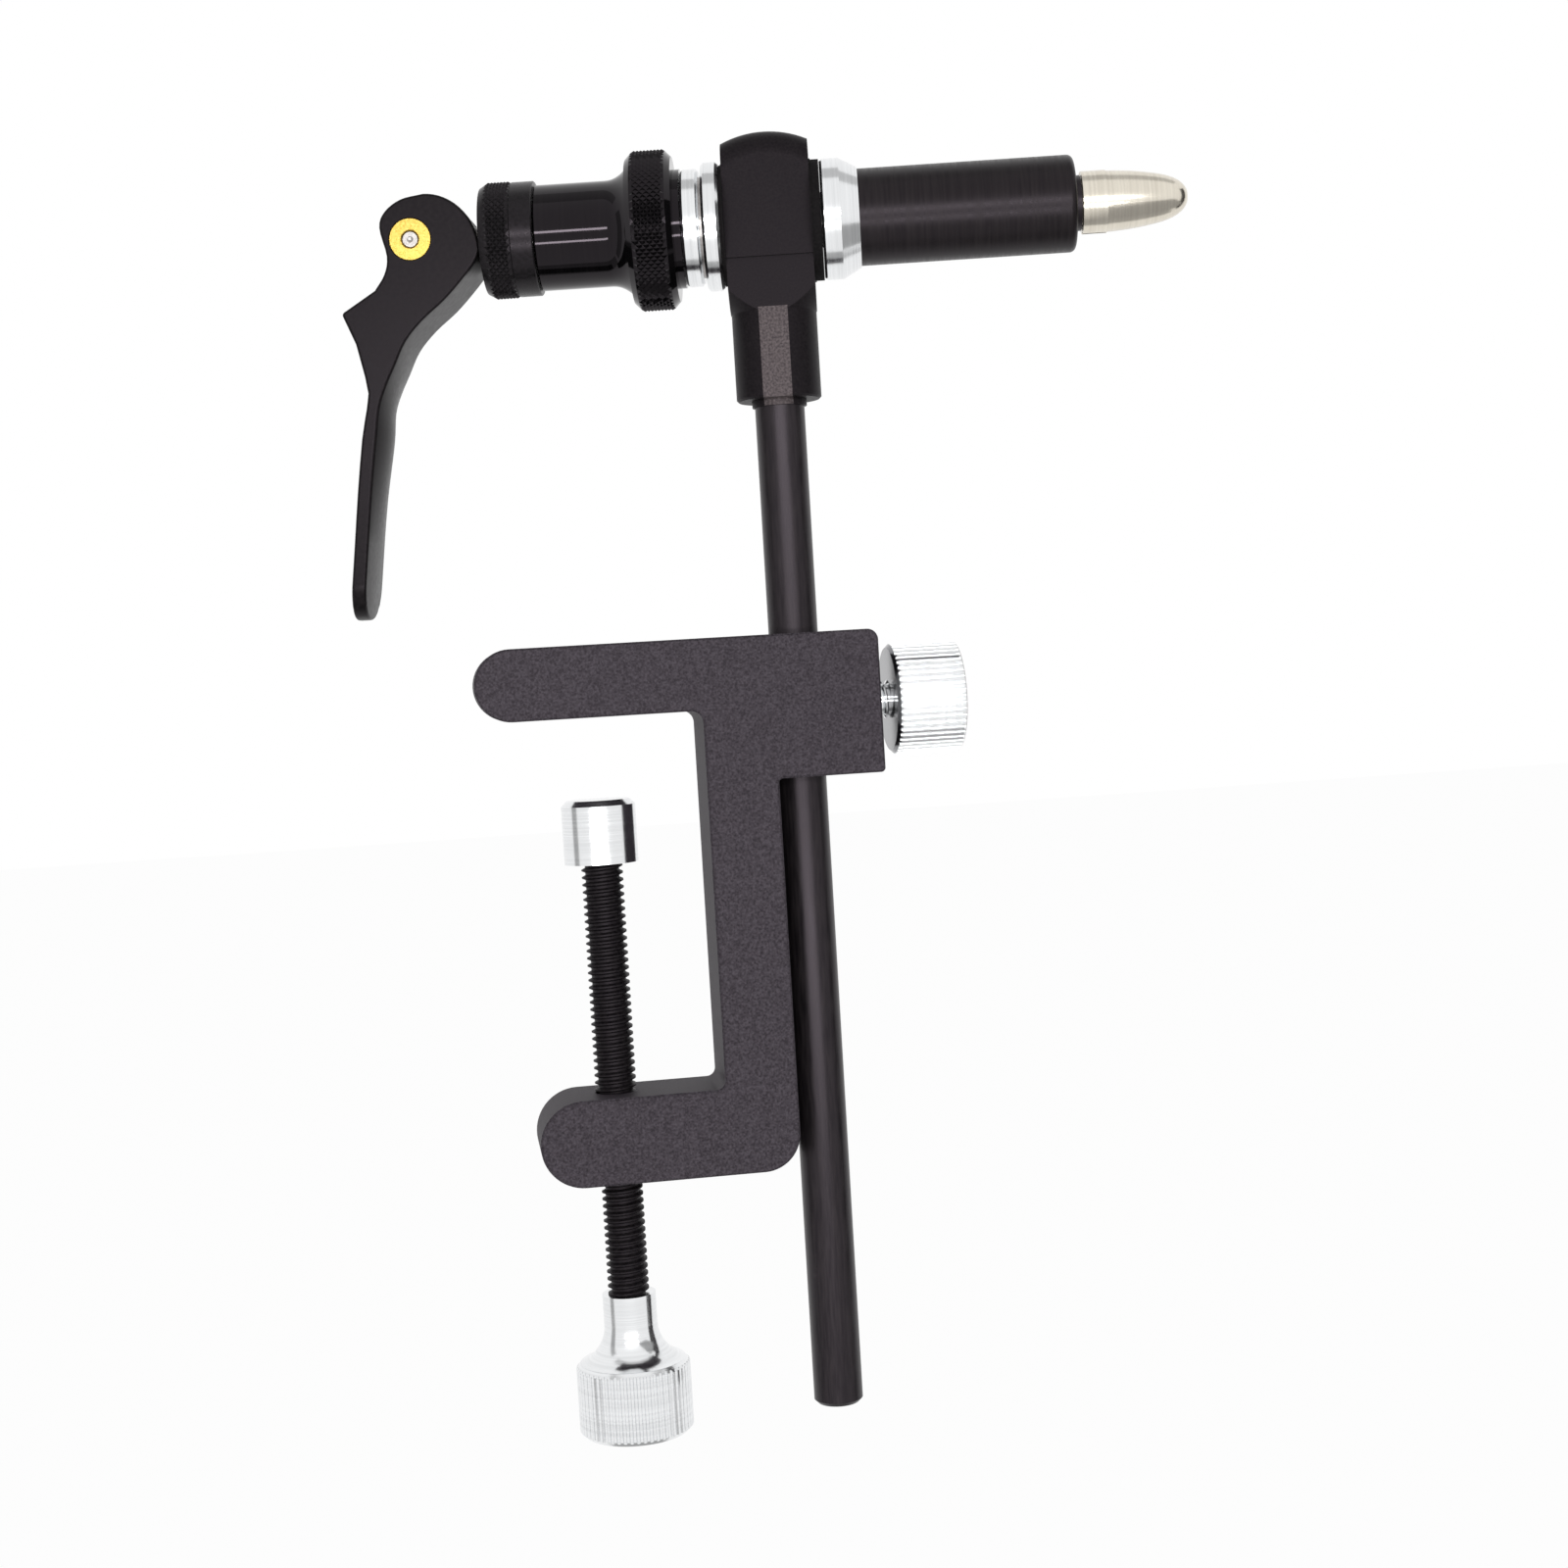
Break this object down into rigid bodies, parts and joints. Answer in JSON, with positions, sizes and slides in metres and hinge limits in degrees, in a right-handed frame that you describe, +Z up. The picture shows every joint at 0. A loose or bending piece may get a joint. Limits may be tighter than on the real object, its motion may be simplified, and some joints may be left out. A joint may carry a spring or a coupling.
{
  "type": "fly tying vise",
  "caption": "Clamp-on rotary fly tying vise: a C-clamp carries a sliding stem and a rotary head whose cam lever closes two hook jaws.",
  "frame": {"origin": "on the clamp screw's axis, at the underside of the upper arm, which sits on the table top", "axes": "+X along the head towards the hook jaws, +Y across the clamp away from the viewer, +Z up the stem"},
  "size_m": [0.1623, 0.0413, 0.247],
  "materials": {
    "clamp_black": "bead blasted and anodised black, fine sparkle",
    "screw_black": "black oxide",
    "stem_black": "satin black oxide",
    "head_black": "satin black anodised",
    "barrel_black": "glossy black anodised, diamond knurled grips",
    "lever_black": "semi-gloss black paint on a casting",
    "bright_metal": "polished bright",
    "jaw_steel": "polished nickel, warm tint",
    "brass": "turned",
    "bush_black": "matt",
    "spring_steel": "ground"
  },
  "bodies": {
    "clamp": {"clamp_body": "clamp_black"},
    "pad": {"clamp_pad": "bright_metal"},
    "screw": {"clamp_screw": "screw_black", "clamp_knob": "bright_metal", "pad_ring": "spring_steel"},
    "lock_plug": {"lock_tip": "brass"},
    "lock": {"lock_screw": "bright_metal", "lock_knob": "bright_metal"},
    "stem": {"stem": "stem_black"},
    "tee": {"tee_head": "head_black", "bush_front": "bush_black", "bush_rear": "bush_black", "friction_washer_front": "bush_black", "friction_washer_rear": "bush_black"},
    "head": {"spindle": "spring_steel", "thrust_ring": "bright_metal", "spring_washer": "spring_steel", "tension_washer": "bright_metal", "front_collar": "bright_metal", "front_sleeve": "head_black", "nose_ring": "stem_black", "return_spring": "spring_steel"},
    "tension": {"tension_knob": "barrel_black"},
    "adjuster": {"adjust_ring": "barrel_black"},
    "drawbar": {"drawbar": "spring_steel", "lever_pin": "spring_steel", "jaw_spring": "spring_steel"},
    "lever": {"cam_lever": "lever_black", "lever_bush_near": "brass", "lever_bush_far": "brass"},
    "near_jaw": {"jaw_near": "jaw_steel"},
    "far_jaw": {"jaw_far": "jaw_steel"}
  },
  "joints": [
    {"name": "pad_slide", "type": "slide", "parent": "clamp", "child": "pad", "axis": [0, 0, 1], "range_m": [-0.0435, 0.0155]},
    {"name": "screw_turn", "type": "hinge", "parent": "pad", "child": "screw", "pos_m": [0, 0, -0.08], "axis": [0, 0, 1], "range_deg": [-11110, 3965]},
    {"name": "lock_slide", "type": "slide", "parent": "clamp", "child": "lock_plug", "axis": [1, 0, 0], "range_m": [0, 0.00282]},
    {"name": "lock_turn", "type": "hinge", "parent": "lock_plug", "child": "lock", "pos_m": [0.03966, 0, -0.00005], "axis": [1, 0, 0], "range_deg": [0, 720]},
    {"name": "stem_slide", "type": "slide", "parent": "clamp", "child": "stem", "axis": [0, 0, 1], "range_m": [-0.043, 0.11]},
    {"name": "head_swivel", "type": "hinge", "parent": "stem", "child": "tee", "pos_m": [0.03966, 0, 0.0584], "axis": [0, 0, 1], "continuous": true},
    {"name": "head_rotation", "type": "hinge", "parent": "tee", "child": "head", "pos_m": [0.03966, 0, 0.0922], "axis": [0.9848, -0.1736, 0], "continuous": true},
    {"name": "tension_turn", "type": "hinge", "parent": "head", "child": "tension", "pos_m": [0.03966, 0, 0.0922], "axis": [0.9848, -0.1736, 0], "range_deg": [-90, 90]},
    {"name": "adjuster_turn", "type": "hinge", "parent": "head", "child": "adjuster", "pos_m": [0.03966, 0, 0.0922], "axis": [0.9848, -0.1736, 0], "range_deg": [-180, 180]},
    {"name": "drawbar_slide", "type": "slide", "parent": "head", "child": "drawbar", "axis": [0.9848, -0.1736, 0], "range_m": [0, 0.00463]},
    {"name": "lever_turn", "type": "hinge", "parent": "drawbar", "child": "lever", "pos_m": [-0.02706, 0.01176, 0.0922], "axis": [0.1736, 0.9848, 0], "range_deg": [0, 90]},
    {"name": "near_jaw_open", "type": "hinge", "parent": "drawbar", "child": "near_jaw", "pos_m": [0.07947, -0.00702, 0.0922], "axis": [0, 0, -1], "range_deg": [0, 2.6]},
    {"name": "far_jaw_open", "type": "hinge", "parent": "drawbar", "child": "far_jaw", "pos_m": [0.07947, -0.00702, 0.0922], "axis": [0, 0, 1], "range_deg": [0, 2.6]}
  ],
  "couplings": [
    {"joint": "screw_turn", "follows": "pad_slide", "rad_per_m": 4453},
    {"joint": "lock_turn", "follows": "lock_slide", "rad_per_m": 4453},
    {"joint": "lever_turn", "follows": "drawbar_slide", "rad_per_m": 338.98},
    {"joint": "near_jaw_open", "follows": "drawbar_slide", "rad_per_m": 9.4162},
    {"joint": "far_jaw_open", "follows": "drawbar_slide", "rad_per_m": 9.4162}
  ]
}
